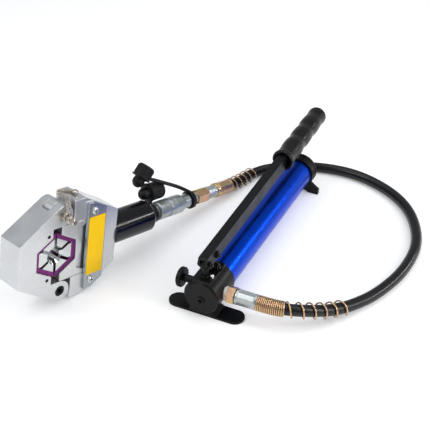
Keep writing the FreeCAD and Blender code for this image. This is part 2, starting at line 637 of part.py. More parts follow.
def soft_rod(route, radius):
    """A round rod along a route of points, with each bend as wide as its runs allow."""
    edges = []
    bends = []
    here = route[0]
    for before, corner, after in zip(route, route[1:], route[2:]):
        back = (before - corner).normalize()
        onward = (after - corner).normalize()
        reach = 0.45 * min((corner - before).Length, (after - corner).Length)
        half_turn = (math.pi - back.getAngle(onward)) / 2
        bend = reach / math.tan(half_turn)
        inward = (back + onward).normalize()
        middle = corner + inward * (bend / math.cos(half_turn) - bend)
        edges.append(Part.LineSegment(here, corner + back * reach).toShape())
        edges.append(Part.Arc(corner + back * reach, middle, corner + onward * reach).toShape())
        here = corner + onward * reach
        bends.append(bend)
    edges.append(Part.LineSegment(here, route[-1]).toShape())
    path = Part.Wire(edges)
    circle = Part.Wire([Part.Circle(route[0], route[1] - route[0], float(radius)).toShape()])
    obj = doc.addObject("Part::Feature", "SoftRod")
    obj.Shape = path.makePipeShell([circle], True, False)
    return obj, path.Length, bends


# Hose

def hose(ferrule_end):
    """The hose lies on the floor in one loop behind the pump."""
    rest = float(D.hose_radius) + 0.1
    route = [Vector(float(D.pump_ferrule_end), float(D.port_y), float(D.axis_height)),
             Vector(84, float(D.port_y), float(D.axis_height)), Vector(104, 11.8, 28),
             Vector(124, 25, 23.5), Vector(146.2, 49.2, 14.5), Vector(164, 76, 9),
             Vector(183.8, 111.3, rest), Vector(201.6, 174, rest), Vector(199.8, 247, rest),
             Vector(159.4, 324.5, rest), Vector(83.7, 366.6, rest), Vector(13.7, 364.3, rest),
             Vector(-51, 331.3, rest), Vector(-72.8, 300.4, rest),
             HEAD.multVec(Vector(float(ferrule_end) + 21.5, float(MID), 0)),
             HEAD.multVec(Vector(float(ferrule_end), float(MID), 0))]
    obj, long, bends = soft_rod(route, D.hose_radius)
    obj.Label = "hose"
    wanted = math.pi * float(D.hose_radius) ** 2 * long
    print("hose bends", " ".join("%.0f" % bend for bend in bends))
    print("hose length %.1f mm, volume off by %.4f" % (long, obj.Shape.Volume / wanted - 1))
    PARTS.append(obj)


# Pump head, reservoir and feet

def pump_head():
    front = -D.pump_front
    z = D.axis_height
    spigot = D.tube_radius - D.tube_wall - D.run_play
    profile = [(front, D.pump_radius - D.rim_chamfer), (front + D.rim_chamfer, D.pump_radius),
               (D.pump_back, D.pump_radius), (D.pump_back, spigot), (D.pump_back + 4, spigot),
               (D.pump_back + 4, spigot - 1.5), (D.pump_back + 7, spigot - 1.5), (D.pump_back + 7, spigot),
               (D.pump_back + D.tube_grip, spigot)]
    barrel = turned("Y", profile, 0, 0, z)
    block = box(-D.block_half, D.block_half, -D.block_front, D.block_back, z, D.block_top)
    lug = fuse(rod("X", D.lug_radius, -D.lug_half, D.lug_half, D.lug_y, D.lug_z),
               box(-D.lug_half, D.lug_half, D.lug_y - D.lug_radius, D.lug_y + D.lug_radius, z, D.lug_z))
    flat = box(-FAR, FAR, -FAR, D.pump_back, -FAR, D.head_flat)
    inner = D.eye_half + D.side_play
    slot = box(-inner, inner, D.lug_y - D.slot_half, D.lug_y + D.slot_half, D.slot_floor, FAR)
    bores = [rod("Z", D.plunger_radius + D.run_play, D.plunger_well, FAR, 0, D.plunger_y),
             rod("X", D.port_radius, D.port_seat, FAR, D.port_y, z),
             rod("X", D.valve_radius + D.run_play, -FAR, -D.valve_seat, D.valve_y, D.valve_z),
             rod("X", D.bolt_radius, -FAR, FAR, D.lug_y, D.lug_z),
             rod("X", D.bolt_head + 0.4, -FAR, -D.lug_half, D.lug_y, D.lug_z),
             rod("X", D.bolt_head + 0.4, D.lug_half, FAR, D.lug_y, D.lug_z),
             rod("Z", D.bleed_radius, D.block_top - D.bleed_deep, FAR, D.bleed_x, D.plunger_y),
             rod("Y", D.tie_radius, D.tie_start, FAR, 0, z),
             rod("Y", D.tie_radius, -FAR, front + 6, 0, D.plug_z)]
    screws = [rod("Z", D.foot_screw, 0, D.head_flat + 8, 0, y) for y in foot_screws()]
    keep("pump_head", cut(fuse(barrel, block, lug), flat, slot, *bores, *screws))
    plug = cut(rod("Y", D.tie_radius, front - 0.6, front + 6, 0, D.plug_z),
               hexagon("Y", D.tie_radius * 0.62, front - 2, front + 3, 0, D.plug_z))
    keep("front_plug", plug)
    gland = [(D.block_top, D.gland_radius), (D.gland_top - 0.8, D.gland_radius),
             (D.gland_top, D.gland_radius - 0.8)]
    keep("gland_nut", turned("Z", gland, D.plunger_radius + D.run_play, 0, D.plunger_y))
    head = D.bleed_radius
    bleed = [(D.block_top - D.bleed_deep, head), (D.block_top, head), (D.block_top, head + 0.5),
             (D.bleed_top - 1.2, head + 0.5), (D.bleed_top, head - 0.8)]
    keep("bleed_screw", turned("Z", bleed, 0, D.bleed_x, D.plunger_y))
    keep("link_pin", cross_bolt(D.lug_half, D.lug_y, D.lug_z))


def foot_screws():
    return -D.foot_screw_y, D.foot_screw_y


def cross_bolt(half, y, z):
    """A bolt across the pump: a low head on one side, on the other a nut with the bolt's end past it."""
    head = D.bolt_head
    end = half + D.nut_tall
    profile = [(-half - D.head_tall, head - 1), (-half - D.head_tall + 0.8, head), (-half, head),
               (-half, D.bolt_radius), (half, D.bolt_radius), (half, head), (end - 0.5, head),
               (end, head - 0.6), (end, D.bolt_radius - 0.4), (end + 1.4, D.bolt_radius - 0.4),
               (end + 2, D.bolt_radius - 1.4)]
    return turned("X", profile, 0, y, z)


def reservoir():
    z = D.axis_height
    keep("reservoir_tube", turned("Y", [(D.pump_back, D.tube_radius), (D.tube_end, D.tube_radius)],
                                  D.tube_radius - D.tube_wall, 0, z))
    spigot = D.tube_radius - D.tube_wall - D.run_play
    waist = D.cap_radius - 1
    profile = [(D.tube_end - D.tube_grip, spigot), (D.tube_end - 7, spigot), (D.tube_end - 7, spigot - 1.5),
               (D.tube_end - 4, spigot - 1.5), (D.tube_end - 4, spigot), (D.tube_end, spigot),
               (D.tube_end, D.cap_radius), (D.tube_end + 5, D.cap_radius), (D.tube_end + 6, waist),
               (D.cap_end - 4, waist), (D.cap_end - 3, D.cap_radius), (D.cap_end - 1, D.cap_radius),
               (D.cap_end, D.cap_radius - 1)]
    cap = cut(turned("Y", profile, 0, 0, z), rod("Y", D.tie_radius, 0, D.tie_end, 0, z))
    keep("end_cap", cap)
    rings = []
    for start in (D.pump_back + 4, D.tube_end - 7):
        rings.append(turned("Y", [(start, spigot), (start + 3, spigot)], spigot - 1.5, 0, z))
    keep("tube_seals", *rings)
    keep("tie_rod", rod("Y", D.tie_radius, D.tie_start, D.tie_end, 0, z))


def feet():
    top = D.head_flat
    outline = both_sides([(D.foot_half, 0), (D.foot_half, D.foot_thick), (D.pad_half + 7, D.foot_thick),
                          (D.pad_half, top)])
    half = D.foot_wide / 2
    plan = fuse(box(-D.foot_half + half, D.foot_half - half, -half, half, -1, top + 1),
                rod("Z", half, -1, top + 1, -D.foot_half + half, 0),
                rod("Z", half, -1, top + 1, D.foot_half - half, 0))
    strip = common(prism("Y", outline, -half, half), plan)
    seat = D.foot_thick + 0.4
    holes = []
    screws = []
    for y in foot_screws():
        holes.append(rod("Z", D.foot_screw, -1, top + 1, 0, y))
        holes.append(rod("Z", D.foot_screw + 2, -1, seat, 0, y))
        screws.append(turned("Z", [(0.4, D.foot_screw + 1), (1, D.foot_screw + 1.8),
                                   (seat, D.foot_screw + 1.8), (seat, D.foot_screw),
                                   (top + 7, D.foot_screw)], 0, 0, y))
    keep("front_foot", cut(strip, *holes))
    keep("foot_screws", *screws)
    outline = both_sides([(D.rear_foot_arch + 4, 0), (D.rear_foot_half, 0),
                          (D.rear_foot_half, D.rear_foot_edge), (D.rear_foot_arch + 4, D.rear_foot_top)])
    inner = both_sides([(D.rear_foot_arch + 4, -1), (D.rear_foot_arch, D.rear_foot_rise)])
    end = D.rear_foot_start + D.rear_foot_long
    keep("rear_foot", cut(prism("Y", outline, D.rear_foot_start, end),
                          prism("Y", inner, D.rear_foot_start - 1, end + 1),
                          rod("Y", D.cap_radius, 0, 2 * FAR, 0, D.axis_height)))


def both_sides(points):
    """An outline's right half, from the bottom up, with its mirror image to the left."""
    return list(points) + [(-u, v) for u, v in reversed(points)]


def port_side():
    z = D.axis_height
    y = D.port_y
    profile = [(D.port_seat, D.port_radius), (D.pump_radius, D.port_radius),
               (D.pump_radius + 0.4, D.port_radius + 1), (D.port_end, D.port_radius + 1)]
    keep("port_adapter", turned("X", profile, D.oil_radius, y, z))
    keep("hose_nut_pump", cut(hexagon("X", D.hex_corner, D.port_end, D.pump_hex_end, y, z),
                              rod("X", D.oil_radius, 0, FAR, y, z)))
    keep("hose_ferrule_pump", turned("X", ferrule(D.pump_hex_end, D.pump_ferrule_end), D.oil_radius, y, z))
    outer = D.hose_radius + D.slide_play + D.wire
    keep("spring_guard_pump", turned("X", [(D.pump_ferrule_end, outer),
                                           (D.pump_ferrule_end + D.pump_guard, outer)],
                                     D.hose_radius + D.slide_play, y, z))


def release_valve():
    y = D.valve_y
    z = D.valve_z
    inner = -D.valve_seat - 0.5
    profile = [(-D.knob_start, D.valve_radius), (inner - 3, D.valve_radius), (inner, 1.5)]
    keep("release_stem", turned("X", profile, 0, y, z))
    rim = D.knob_radius
    profile = [(-D.knob_end, rim - 2), (-D.knob_end + 1, rim - 0.6), (-D.knob_end + 2, rim),
               (-D.knob_start - 1, rim), (-D.knob_start, rim - 1)]
    flutes = [flute(rim, number * 20, y, z) for number in range(18)]
    keep("release_knob", cut(turned("X", profile, 0, y, z), *flutes))


def flute(rim, angle, y, z):
    """A small round flute on the rim of the knob."""
    centre = rim + 0.5
    return rod("X", 1, -D.knob_end - 1, -D.knob_start + 1, y + centre * cos(angle), z + centre * sin(angle))


# Plunger, link and lever

def plunger():
    y = D.plunger_y
    waist = D.gland_top + D.plunger_bare
    eye = rod("X", D.eye_radius, -D.eye_half, D.eye_half, y, D.eye_z)
    flats = box(-D.eye_half, D.eye_half, y - D.plunger_radius, y + D.plunger_radius, waist - 0.1, D.eye_z)
    trim = common(rod("Z", D.plunger_radius, D.plunger_low, D.eye_z, 0, y), flats)
    lower = rod("Z", D.plunger_radius, D.plunger_low, waist, 0, y)
    hole = rod("X", D.bolt_radius + D.eye_play, -FAR, FAR, y, D.eye_z)
    keep("plunger", cut(fuse(lower, trim, eye), hole))


def lever_link():
    half = D.eye_half
    ends = [rod("X", D.link_radius, -half, half, D.pivot_y, D.pivot_z),
            rod("X", D.link_radius, -half, half, D.lug_y, D.lug_z)]
    web = prism("X", [(D.lug_y - D.link_radius, D.lug_z), (D.lug_y + D.link_radius, D.lug_z),
                      (D.pivot_y + D.link_radius, D.pivot_z), (D.pivot_y - D.link_radius, D.pivot_z)],
                -half, half)
    holes = [rod("X", D.bolt_radius + D.run_play, -FAR, FAR, D.pivot_y, D.pivot_z),
             rod("X", D.bolt_radius + D.run_play, -FAR, FAR, D.lug_y, D.lug_z)]
    keep("lever_link", cut(fuse(web, *ends), *holes))


def lever():
    """The lever is a channel that opens downwards, over the plunger's eye and the link at its front."""
    outer = D.bar_half
    inner = outer - D.bar_wall
    half = D.bar_tall / 2
    outline = [(D.bar_front, -D.nose_low), (D.bar_front + 4, -half + 1.2), (D.bar_front + 12, -half),
               (D.bar_end, -half), (D.bar_end, half), (D.bar_front + 2, half), (D.bar_front, half - 2)]
    bar = cut(prism("X", outline, -outer, outer),
              box(-inner, inner, D.bar_front - 1, D.channel_end, -FAR, half - D.bar_wall))
    bores = [swung_rod(y, z) for y, z in lever_bolts()]
    keep("lever_bar", cut(bar, *bores), where=LEVER)
    grip = cut(turned("Y", grip_profile()),
               box(-outer, outer, D.grip_start - 1, D.bar_end, -half, half),
               rod("Y", D.cup_radius, D.grip_start - 1, D.grip_start + D.cup_deep, 0, 0))
    keep("lever_grip", grip, where=LEVER)
    points = [(D.plunger_y, D.eye_z), (D.pivot_y, D.pivot_z)]
    keep("plunger_pin", cross_bolt(outer, *points[0]))
    keep("pivot_bolt", cross_bolt(outer, *points[1]))


def lever_bolts():
    """The plunger pin and the pivot bolt, along and across the lever's own line."""
    places = []
    for y, z in ((D.plunger_y, D.eye_z), (D.pivot_y, D.pivot_z)):
        rise = z - D.lever_z
        places.append((y * cos(D.lever_slope) + rise * sin(D.lever_slope),
                       rise * cos(D.lever_slope) - y * sin(D.lever_slope)))
    return places


def swung_rod(y, z):
    return rod("X", D.bolt_radius, -FAR, FAR, y, z)


def grip_profile():
    """The rubber grip with a flange at its open end and three soft swells along it."""
    top = D.grip_radius
    span = D.grip_end - D.grip_start
    swells = [(0, 0.8), (0.012, 1.9), (0.035, 1.9), (0.055, 0.5), (0.14, 0), (0.22, 0.8), (0.3, 0.8),
              (0.38, -0.4), (0.46, 0.6), (0.54, 0.6), (0.62, -0.4), (0.7, 0.6), (0.78, 0.4), (0.86, -0.4),
              (0.94, 0.2), (0.98, -0.6), (1, -2.6)]
    return [(D.grip_start + span * share, top + swell) for share, swell in swells]


front_yoke()
rear_frame()
cover_plate()
slider_block()
die_holders()
jaws()
locking_pin()
pin_chain()
hinge_pin()
ram()
coupler()
dust_caps()
hose(head_fittings())
pump_head()
reservoir()
feet()
port_side()
release_valve()
plunger()
lever_link()
lever()
doc.recompute()

for obj in doc.Objects:
    if "Invalid" in obj.State or "Error" in obj.State:
        raise RuntimeError("%s failed: %s" % (obj.Name, obj.State))
for part in PARTS:
    if part.Shape.isNull() or not part.Shape.isValid():
        raise RuntimeError("bad shape: " + part.Label)

os.makedirs("parts", exist_ok=True)
for part in PARTS:
    part.Shape.exportStep("parts/%s.step" % part.Label)
    print("%-22s solids %d volume %.0f" % (part.Label, len(part.Shape.Solids), part.Shape.Volume))
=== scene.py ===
"""Looks of the hose crimping machine: finishes, hose, springs, straps, chain, light and camera.

Pieces are drawn in millimetres, as the model is. Light, camera and floor are in metres."""
import json
import math
import bmesh
import bpy
from mathutils import Matrix, Vector


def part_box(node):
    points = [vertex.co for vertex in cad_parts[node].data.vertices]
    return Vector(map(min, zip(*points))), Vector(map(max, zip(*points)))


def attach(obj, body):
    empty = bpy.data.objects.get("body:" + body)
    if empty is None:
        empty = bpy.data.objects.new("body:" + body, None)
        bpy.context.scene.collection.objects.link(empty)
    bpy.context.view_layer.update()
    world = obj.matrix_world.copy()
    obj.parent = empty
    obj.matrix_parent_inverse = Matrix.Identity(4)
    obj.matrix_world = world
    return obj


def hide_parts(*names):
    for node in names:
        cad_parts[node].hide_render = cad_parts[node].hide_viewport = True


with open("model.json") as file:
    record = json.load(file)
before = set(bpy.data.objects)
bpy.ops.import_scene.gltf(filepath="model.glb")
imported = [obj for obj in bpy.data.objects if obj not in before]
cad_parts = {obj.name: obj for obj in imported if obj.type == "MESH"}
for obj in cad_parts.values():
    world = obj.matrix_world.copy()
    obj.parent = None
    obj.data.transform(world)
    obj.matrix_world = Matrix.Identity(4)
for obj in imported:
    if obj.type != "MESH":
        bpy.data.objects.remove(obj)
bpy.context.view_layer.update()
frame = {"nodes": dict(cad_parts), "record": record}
NODES = frame["nodes"]
MM = 0.001


def rotation(axis, degrees):
    return Matrix.Rotation(math.radians(degrees), 4, axis)


def shift(x, y, z):
    return Matrix.Translation((x, y, z))


def placed(obj):
    bpy.context.collection.objects.link(obj)
    return obj


# Frames of the head, the ram's axis, the lever and the pump's hose port, as the model has them

HEAD = shift(-163.7, -61.67, 72.979) @ rotation("Z", 72.92) @ rotation("Y", 10.8)
RAM_Y = 18.0
RAM = HEAD @ shift(0, RAM_Y, 0)
LEVER = shift(0, 0, 75.6) @ rotation("X", 2.0)
PORT_Y, PORT_Z = 6.5, 29.3
PORT = shift(0, PORT_Y, PORT_Z)


# Camera

CAMERA_PLACE = (0.39789, -0.79908, 0.76234)
CAMERA_TARGET = (-0.07925, 0.18837, 0.0)
CAMERA_LENS = 78.96
SENSOR_WIDTH = 36.0
NEAREST_SEEN = 0.05


def aimed(obj, place, target):
    """Puts a camera or a lamp in the scene, at its place and turned to its target."""
    placed(obj)
    obj.location = place
    obj.rotation_euler = (Vector(target) - Vector(place)).to_track_quat("-Z", "Y").to_euler()


def set_camera():
    data = bpy.data.cameras.new("Camera")
    data.lens = CAMERA_LENS
    data.sensor_width = SENSOR_WIDTH
    data.clip_start = NEAREST_SEEN
    camera = bpy.data.objects.new("Camera", data)
    aimed(camera, CAMERA_PLACE, CAMERA_TARGET)
    bpy.context.scene.camera = camera


# Node trees

class Nodes:
    """Short calls that add nodes to a tree."""

    def __init__(self, tree):
        self.tree = tree

    def feed(self, socket, value):
        """Gives a socket a link, a colour of three shares or another plain value."""
        if isinstance(value, bpy.types.NodeSocket):
            self.tree.links.new(value, socket)
        elif socket.type == "RGBA":
            socket.default_value = (*value, 1)
        else:
            socket.default_value = value

    def add(self, kind, inputs=None, **settings):
        """The outputs of a new node, whose inputs are given by name or number."""
        node = self.tree.nodes.new(kind)
        for label, value in settings.items():
            setattr(node, label, value)
        for key, value in (inputs or {}).items():
            self.feed(node.inputs[key], value)
        return node.outputs

    def maths(self, operation, a, b=0.0):
        return self.add("ShaderNodeMath", {0: a, 1: b}, operation=operation)[0]

    def span(self, value, low, high, to_low=0.0, to_high=1.0):
        """A value carried from one range to another, and held at its ends."""
        return self.add("ShaderNodeMapRange", {"Value": value, "From Min": low, "From Max": high,
                                               "To Min": to_low, "To Max": to_high})["Result"]

    def noise(self, scale, detail, rough=0.55, stretch=None):
        """Noise that stays with the piece, drawn out along each axis where stretch is small."""
        place = self.add("ShaderNodeTexCoord")["Object"]
        if stretch:
            place = self.add("ShaderNodeMapping", {"Vector": place, "Scale": stretch})["Vector"]
        return self.add("ShaderNodeTexNoise", {"Vector": place, "Scale": scale, "Detail": detail,
                                               "Roughness": rough})["Fac"]

    def mixed(self, share, a, b):
        return self.add("ShaderNodeMix", {0: share, 6: a, 7: b}, data_type="RGBA")[2]

    def ramp(self, value, stops):
        """A colour that follows a value through stops of (position, colour)."""
        node = self.tree.nodes.new("ShaderNodeValToRGB")
        elements = node.color_ramp.elements
        while len(elements) < len(stops):
            elements.new(0.5)
        for element, (position, colour) in zip(elements, stops):
            element.position = position
            element.color = (*colour, 1)
        self.feed(node.inputs["Fac"], value)
        return node.outputs["Color"]


class Group(Nodes):
    """A node group. An input has its value, or the word for its kind, and an output has its kind."""

    def __init__(self, name, kind, inputs, outputs):
        super().__init__(bpy.data.node_groups.new(name, kind))
        sockets = self.tree.interface
        for label, value in inputs.items():
            if isinstance(value, str):
                sockets.new_socket(label, in_out="INPUT", socket_type="NodeSocket" + value)
            else:
                number = "NodeSocketInt" if isinstance(value, int) else "NodeSocketFloat"
                sockets.new_socket(label, in_out="INPUT", socket_type=number).default_value = value
        for label, value in outputs.items():
            sockets.new_socket(label, in_out="OUTPUT", socket_type="NodeSocket" + value)
        self.given = self.add("NodeGroupInput")
        self.out = self.tree.nodes.new("NodeGroupOutput").inputs


# Shader groups

RAY_SAMPLES = 4
# How far a rounded normal agrees with the flat one where the edges' wear and painted highlight start, and
# where they are full
EDGE_START, EDGE_FULL = 0.98, 0.86
EDGE_PATCH_SCALE = 220
# How open a place is where the painted shade in hollows starts, and where it is full
SHADE_START, SHADE_FULL = 0.75, 0.15
HOLLOW_REACH = 6.0 * MM
DRIFT_SCALE = 45
BRUSHED = (0.06, 0.06, 1.0)


def wear_and_light_group():
    """Where edges are rubbed and carry a painted highlight, and where hollows get painted shade: a mask of
    worn and highlighted edges and a mask of painted shade.
    """
    wear_and_light = Group("Wear", "ShaderNodeTree", {"Reach": 0.8 * MM, "Amount": 0.5},
                 {"Edge": "Float", "Grime": "Float"})
    rounded = wear_and_light.add("ShaderNodeBevel", {"Radius": wear_and_light.given["Reach"]}, samples=RAY_SAMPLES)["Normal"]
    flat = wear_and_light.add("ShaderNodeNewGeometry")["Normal"]
    agreement = wear_and_light.add("ShaderNodeVectorMath", {0: rounded, 1: flat}, operation="DOT_PRODUCT")["Value"]
    edge = wear_and_light.span(agreement, EDGE_START, EDGE_FULL)
    patches = wear_and_light.span(wear_and_light.noise(EDGE_PATCH_SCALE, 4), 0.3, 0.6, 0.35, 1.0)
    rubbed_and_lit = wear_and_light.maths("MULTIPLY", edge, patches)
    wear_and_light.feed(wear_and_light.out["Edge"], wear_and_light.maths("MULTIPLY", rubbed_and_lit, wear_and_light.given["Amount"]))
    # Painted shade: ambient occlusion darkens the colour in hollows and between parts
    hollow = wear_and_light.add("ShaderNodeAmbientOcclusion", {"Distance": HOLLOW_REACH}, samples=RAY_SAMPLES)["AO"]
    wear_and_light.feed(wear_and_light.out["Grime"], wear_and_light.span(hollow, SHADE_START, SHADE_FULL))
    return wear_and_light.tree


def grain_group():
    """Fine machining or casting grain: a height for a bump and a value that changes roughness."""
    grain = Group("Grain", "ShaderNodeTree", {"Scale": 900.0, "Lines": 0.0},
                  {"Height": "Float", "Vary": "Float"})
    speck = grain.noise(grain.given["Scale"], 3)
    lines = grain.noise(grain.given["Scale"], 2, 0.5, BRUSHED)
    lines = grain.maths("MULTIPLY", lines, grain.given["Lines"])
    grain.feed(grain.out["Height"], grain.maths("ADD", speck, lines))
    grain.feed(grain.out["Vary"], grain.noise(DRIFT_SCALE, 4))
    return grain.tree


PLATING_TILT = 0.35
PLATING_STOPS = ((0.30, (0.55, 0.29, 0.19)), (0.46, (0.66, 0.40, 0.26)), (0.58, (0.61, 0.46, 0.20)),
                 (0.68, (0.67, 0.35, 0.27)), (0.84, (0.44, 0.46, 0.21)))


def plating_group():
    """Thin yellow plating: a drift of gold, rose and green over the metal."""
    film = Group("Plating", "ShaderNodeTree", {"Scale": 70.0, "Facing": 0.0}, {"Colour": "Color"})
    tilt = film.maths("MULTIPLY", film.given["Facing"], PLATING_TILT)
    drift = film.maths("ADD", film.noise(film.given["Scale"], 2), tilt)
    film.feed(film.out["Colour"], film.ramp(drift, PLATING_STOPS))
    return film.tree


WEAR_AND_LIGHT, GRAIN, PLATING = wear_and_light_group(), grain_group(), plating_group()


# Materials

# The near-black colour of the painted shade in hollows
HOLLOW_SHADE_COLOUR = (0.02, 0.02, 0.02)
DARKER = 0.6
SMOOTHER, ROUGHER = 0.8, 1.25
GRAIN_DEPTH = 0.4 * MM
PLATING_BLEND = 0.35


def material(name):
    look = bpy.data.materials.new(name)
    look.use_nodes = True
    return look, Nodes(look.node_tree)


def set_surface(nodes, values):
    """Gives the material's surface shader its values."""
    surface = nodes.tree.nodes["Principled BSDF"]
    for label, value in values.items():
        nodes.feed(surface.inputs[label], value)


def finish_of(name, colour, worn_and_lit, rough, grain, bump, wear_and_light, hollow_shade, metallic=0.0, lines=0.0, vary=0.12,
              edge=0.6, specular=0.5, plating=False):
    """A material of one finish: its colour, the lighter colour of its worn edges, which is partly a painted
    highlight, its painted shade in hollows, and its surface.

    The colour drifts to a darker one by the share vary, and edge is its edges' rounding in millimetres."""
    look, nodes = material(name)
    wear_and_light_masks = nodes.add("ShaderNodeGroup", {"Reach": edge * MM, "Amount": wear_and_light}, node_tree=WEAR_AND_LIGHT)
    texture = nodes.add("ShaderNodeGroup", {"Scale": grain, "Lines": lines}, node_tree=GRAIN)
    base = colour
    if plating:
        facing = nodes.add("ShaderNodeLayerWeight", {"Blend": PLATING_BLEND})["Facing"]
        base = nodes.add("ShaderNodeGroup", {"Facing": facing}, node_tree=PLATING)["Colour"]
    drift = nodes.span(texture["Vary"], 0.3, 0.7, 0.0, vary)
    base = nodes.mixed(drift, base, tuple(channel * DARKER for channel in colour))
    # The edges are lightened, partly as wear and partly as a painted highlight along the chamfers
    base = nodes.mixed(wear_and_light_masks["Edge"], base, worn_and_lit)
    # Painted shade: hollows are darkened toward near black by the shade mask
    base = nodes.mixed(nodes.maths("MULTIPLY", wear_and_light_masks["Grime"], hollow_shade), base, HOLLOW_SHADE_COLOUR)
    roughness = nodes.span(texture["Vary"], 0.25, 0.75, rough * SMOOTHER, rough * ROUGHER)
    rounded = nodes.add("ShaderNodeBevel", {"Radius": edge * MM}, samples=RAY_SAMPLES)["Normal"]
    normal = nodes.add("ShaderNodeBump", {"Strength": bump, "Distance": GRAIN_DEPTH,
                                          "Height": texture["Height"], "Normal": rounded})["Normal"]
    set_surface(nodes, {"Base Color": base, "Metallic": metallic, "Roughness": roughness,
                        "Specular IOR Level": specular, "Normal": normal})
    return look


FINISHES = {
    # The head's frame, yoke and slider, its cover, label and die holder, and its jaws and screws
    # The satin steel's strong edge lightening paints the chamfers' highlights as well as their wear
    "satin_steel": finish_of("Satin steel", (0.65, 0.66, 0.67), (0.92, 0.93, 0.94), rough=0.30, grain=1400,
                             bump=0.10, wear_and_light=0.9, hollow_shade=0.3, metallic=0.85, lines=0.3, vary=0.10, edge=1.4),
    "cover_steel": finish_of("Cover plate steel", (0.40, 0.435, 0.47), (0.66, 0.69, 0.72), rough=0.24,
                             grain=1100, bump=0.06, wear_and_light=0.4, hollow_shade=0.2, metallic=0.9, lines=0.4,
                             vary=0.10, edge=0.9),
    "label_yellow": finish_of("Bare yellow foil", (0.98, 0.60, 0.002), (0.98, 0.64, 0.02), rough=0.36,
                              grain=500, bump=0.02, wear_and_light=0.1, hollow_shade=0.05, vary=0.10, specular=0.2),
    "purple_holder": finish_of("Purple anodised", (0.17, 0.017, 0.155), (0.40, 0.14, 0.42), rough=0.30,
                               grain=1200, bump=0.05, wear_and_light=0.6, hollow_shade=0.3, metallic=0.55),
    "bright_steel": finish_of("Bright tool steel", (0.66, 0.68, 0.68), (0.80, 0.80, 0.80), rough=0.22,
                              grain=900, bump=0.08, wear_and_light=0.4, hollow_shade=0.5, metallic=0.95, lines=0.6),
    # Black metal of the pump, its lever and the head's hinge pin, and the ram's enamel
    "black_steel": finish_of("Black satin", (0.0045, 0.0045, 0.005), (0.05, 0.05, 0.05), rough=0.34,
                             grain=1000, bump=0.08, wear_and_light=0.3, hollow_shade=0.1, vary=0.3, specular=0.17),
    "gloss_black": finish_of("Gloss black enamel", (0.003, 0.003, 0.0035), (0.04, 0.04, 0.04), rough=0.16,
                             grain=400, bump=0.03, wear_and_light=0.2, hollow_shade=0.1, vary=0.2, specular=0.35),
    # Plated fittings
    "nickel": finish_of("Nickel", (0.60, 0.54, 0.47), (0.80, 0.76, 0.70), rough=0.20, grain=700,
                        bump=0.06, wear_and_light=0.4, hollow_shade=0.6, metallic=0.95, lines=0.3, vary=0.2),
    "zinc_steel": finish_of("Clear zinc", (0.50, 0.535, 0.53), (0.72, 0.73, 0.73), rough=0.36, grain=420,
                            bump=0.20, wear_and_light=0.6, hollow_shade=0.65, metallic=0.85, lines=0.5, vary=0.55),
    "yellow_zinc": finish_of("Yellow chromate", (0.66, 0.46, 0.2), (0.8, 0.60, 0.42), rough=0.27,
                             grain=600, bump=0.06, wear_and_light=0.15, hollow_shade=0.5, metallic=0.9, lines=0.2,
                             plating=True),
    # Caps and seals, grip and hose
    "black_rubber": finish_of("Black rubber", (0.005, 0.005, 0.0055), (0.02, 0.02, 0.02), rough=0.42,
                              grain=700, bump=0.20, wear_and_light=0.3, hollow_shade=0.1, vary=0.3, edge=0.3,
                              specular=0.25),
    "grip_rubber": finish_of("Matte grip rubber", (0.004, 0.004, 0.004), (0.02, 0.02, 0.02), rough=0.30,
                             grain=1500, bump=0.30, wear_and_light=0.2, hollow_shade=0.1, vary=0.3, edge=0.4,
                             specular=0.26),
    "hose": finish_of("Hose rubber", (0.0035, 0.0035, 0.004), (0.02, 0.02, 0.02), rough=0.25, grain=500,
                      bump=0.08, wear_and_light=0.1, hollow_shade=0.0, vary=0.3, edge=0.3, specular=0.38),
    # The reservoir, the springs, piston and tie rod inside, and the tape on the adapter
    "blue_tube": finish_of("Blue anodised tube", (0.0, 0.055, 0.58), (0.02, 0.12, 0.65), rough=0.30,
                           grain=500, bump=0.02, wear_and_light=0.0, hollow_shade=0.0, metallic=1.0, vary=0.05,
                           specular=0.3),
    "spring_steel": finish_of("Spring steel", (0.50, 0.51, 0.52), (0.8, 0.8, 0.8), rough=0.3, grain=900,
                              bump=0.05, wear_and_light=0.4, hollow_shade=0.5, metallic=0.95, lines=0.4),
    "white_plastic": finish_of("Off-white tape", (0.78, 0.78, 0.76), (0.85, 0.85, 0.82), rough=0.5,
                               grain=500, bump=0.1, wear_and_light=0.2, hollow_shade=0.2),
}
OWN_FINISH = {"cover_plate": "cover_steel", "locking_pin": "nickel", "locking_pin_ring": "nickel"}


def dress_nodes():
    """Gives each CAD node the finish of its material slot, or its own."""
    for part in frame["record"]["subparts"]:
        finish = FINISHES[OWN_FINISH.get(part["node"], part["material_slot"])]
        for slot in NODES[part["node"]].material_slots:
            slot.material = finish


# Light and floor

WHITE = (1, 1, 1)
SKY_STOPS = ((0.10, WHITE), (0.85, (0.66, 0.70, 0.76)))
SKY_LEVEL = 0.50
# Each lamp's name, place, target, width, height and watts
LAMPS = (("Key", (-0.9, -0.9, 1.6), (-0.05, 0.05, 0.0), 1.3, 1.0, 12),
         ("Side", (1.4, 0.1, 0.9), (0.0, 0.1, 0.05), 0.4, 1.3, 10),
         ("Top", (0.0, 0.5, 1.8), (0.0, 0.1, 0.0), 2.2, 1.4, 12),
         ("Strip", (1.05, 0.72, 0.44), (-0.1, 0.05, 0.05), 0.9, 0.10, 4.5))
FLOOR_REACH = 1.9
FLOOR_COLOUR = (0.93, 0.93, 0.93)
FLOOR_GLOW = 0.20


def area_light(name, place, target, width, height, watts):
    data = bpy.data.lights.new(name, "AREA")
    data.shape = "RECTANGLE"
    data.size = width
    data.size_y = height
    data.energy = watts
    aimed(bpy.data.objects.new(name, data), place, target)


